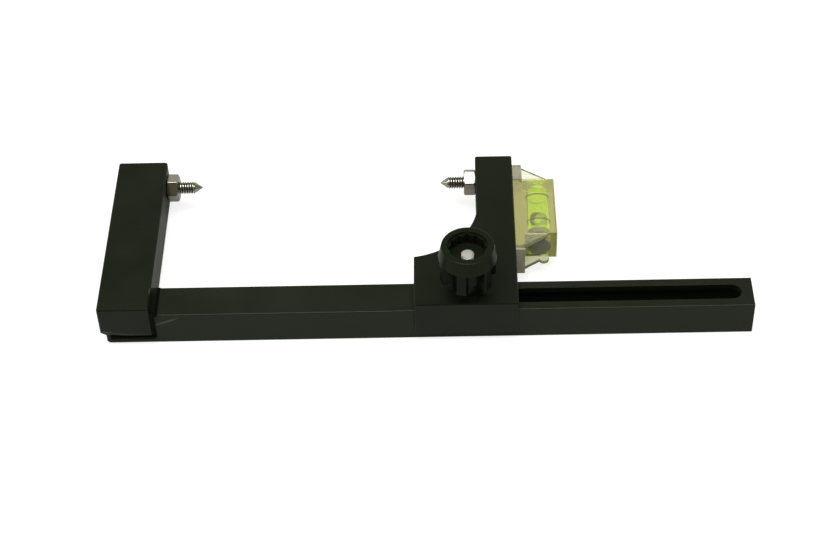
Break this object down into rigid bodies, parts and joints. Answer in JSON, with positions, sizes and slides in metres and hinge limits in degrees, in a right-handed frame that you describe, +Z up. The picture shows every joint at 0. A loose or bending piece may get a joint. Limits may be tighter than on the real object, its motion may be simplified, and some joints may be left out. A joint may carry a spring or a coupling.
{
  "type": "rowing pitch meter",
  "caption": "Rowing pitch meter: slotted black bar with a fixed arm and a sliding arm, a cone point on each, a clamp knob and a spirit level.",
  "frame": {"origin": "middle of the bar's underside", "axes": "+X along the bar towards its free end, +Y along the arms towards their points, +Z up"},
  "size_m": [0.3198, 0.1097, 0.0537],
  "materials": {
    "black_anodised": "black anodised, satin",
    "stainless": "machined stainless steel",
    "plain_steel": "plain machined steel",
    "zinc_steel": "zinc plated, dull",
    "brass": "turned brass",
    "black_plastic": "moulded, satin",
    "black_nylon": "smooth nylon",
    "grey_plastic": "moulded, dull",
    "black_paint": "black line",
    "black_rubber": "moulded rubber",
    "clear_acrylic": "clear polished acrylic",
    "level_fluid": "clear yellow-green liquid"
  },
  "bodies": {
    "frame": {"bar": "black_anodised", "fixed_arm": "black_anodised", "weld_bead": "black_anodised"},
    "carriage": {"carriage": "black_anodised", "level_housing": "clear_acrylic", "vial_fluid": "level_fluid", "vial_rings": "black_paint", "vial_plug": "grey_plastic", "plug_seal": "black_rubber", "level_screws": "zinc_steel", "knob_washer": "black_nylon"},
    "knob": {"knob": "black_plastic", "knob_insert": "brass"},
    "clamp": {"t_nut": "plain_steel", "clamp_stud": "zinc_steel"},
    "fixed_point": {"fixed_point": "stainless"},
    "fixed_lock_nut": {"fixed_lock_nut": "stainless"},
    "carriage_point": {"carriage_point": "stainless"},
    "carriage_lock_nut": {"carriage_lock_nut": "stainless"}
  },
  "joints": [
    {"name": "carriage_slide", "type": "slide", "parent": "frame", "child": "carriage", "axis": [1, 0, 0], "range_m": [-0.0104, 0.1262]},
    {"name": "knob_turn", "type": "hinge", "parent": "carriage", "child": "knob", "pos_m": [0.0196, 0, 0.04], "axis": [0, 0, 1], "range_deg": [0, 720.5]},
    {"name": "clamp_drop", "type": "slide", "parent": "carriage", "child": "clamp", "axis": [0, 0, -1], "range_m": [0, 0.00254]},
    {"name": "fixed_point_adjust", "type": "slide", "parent": "frame", "child": "fixed_point", "axis": [1, 0, 0], "range_m": [-0.00635, 0.00635]},
    {"name": "fixed_nut_turn", "type": "hinge", "parent": "frame", "child": "fixed_lock_nut", "pos_m": [-0.1327, 0.0857, 0.01588], "axis": [1, 0, 0], "continuous": true},
    {"name": "carriage_point_adjust", "type": "slide", "parent": "carriage", "child": "carriage_point", "axis": [-1, 0, 0], "range_m": [-0.004, 0.0025]},
    {"name": "carriage_nut_turn", "type": "hinge", "parent": "carriage", "child": "carriage_lock_nut", "pos_m": [0.022, 0.0857, 0.01593], "axis": [-1, 0, 0], "continuous": true}
  ],
  "couplings": [
    {"joint": "knob_turn", "follows": "clamp_drop", "rad_per_m": 4947.4}
  ]
}
